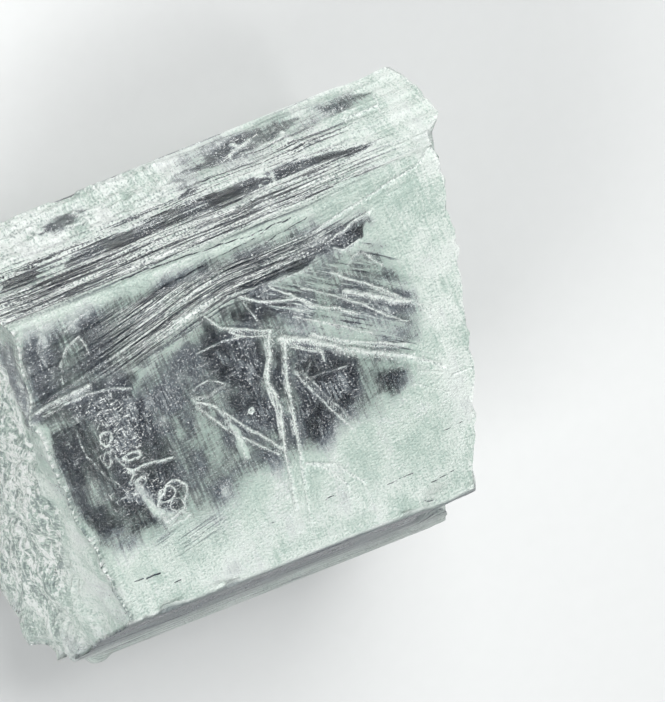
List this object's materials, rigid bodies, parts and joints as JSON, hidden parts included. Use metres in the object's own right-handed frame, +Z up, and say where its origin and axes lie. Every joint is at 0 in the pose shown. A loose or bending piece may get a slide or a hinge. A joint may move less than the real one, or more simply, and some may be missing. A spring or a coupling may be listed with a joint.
{
  "type": "aquamarine crystal",
  "caption": "Short hexagonal aquamarine crystal with broken, frosted ends and a wide etched face, lying on a flat side face.",
  "frame": {"origin": "centre of the bounding box's bottom, on the rest face's plane", "axes": "+X along the crystal's growth axis towards its oblique broken end, +Z up from the rest face to the wide etched face, +Y towards the narrow bevel face"},
  "size_m": [0.0318, 0.0324, 0.0205],
  "materials": {
    "aquamarine": "etched, mostly frosted, with clear windows"
  },
  "bodies": {
    "root": {"crystal": "aquamarine"}
  },
  "joints": []
}
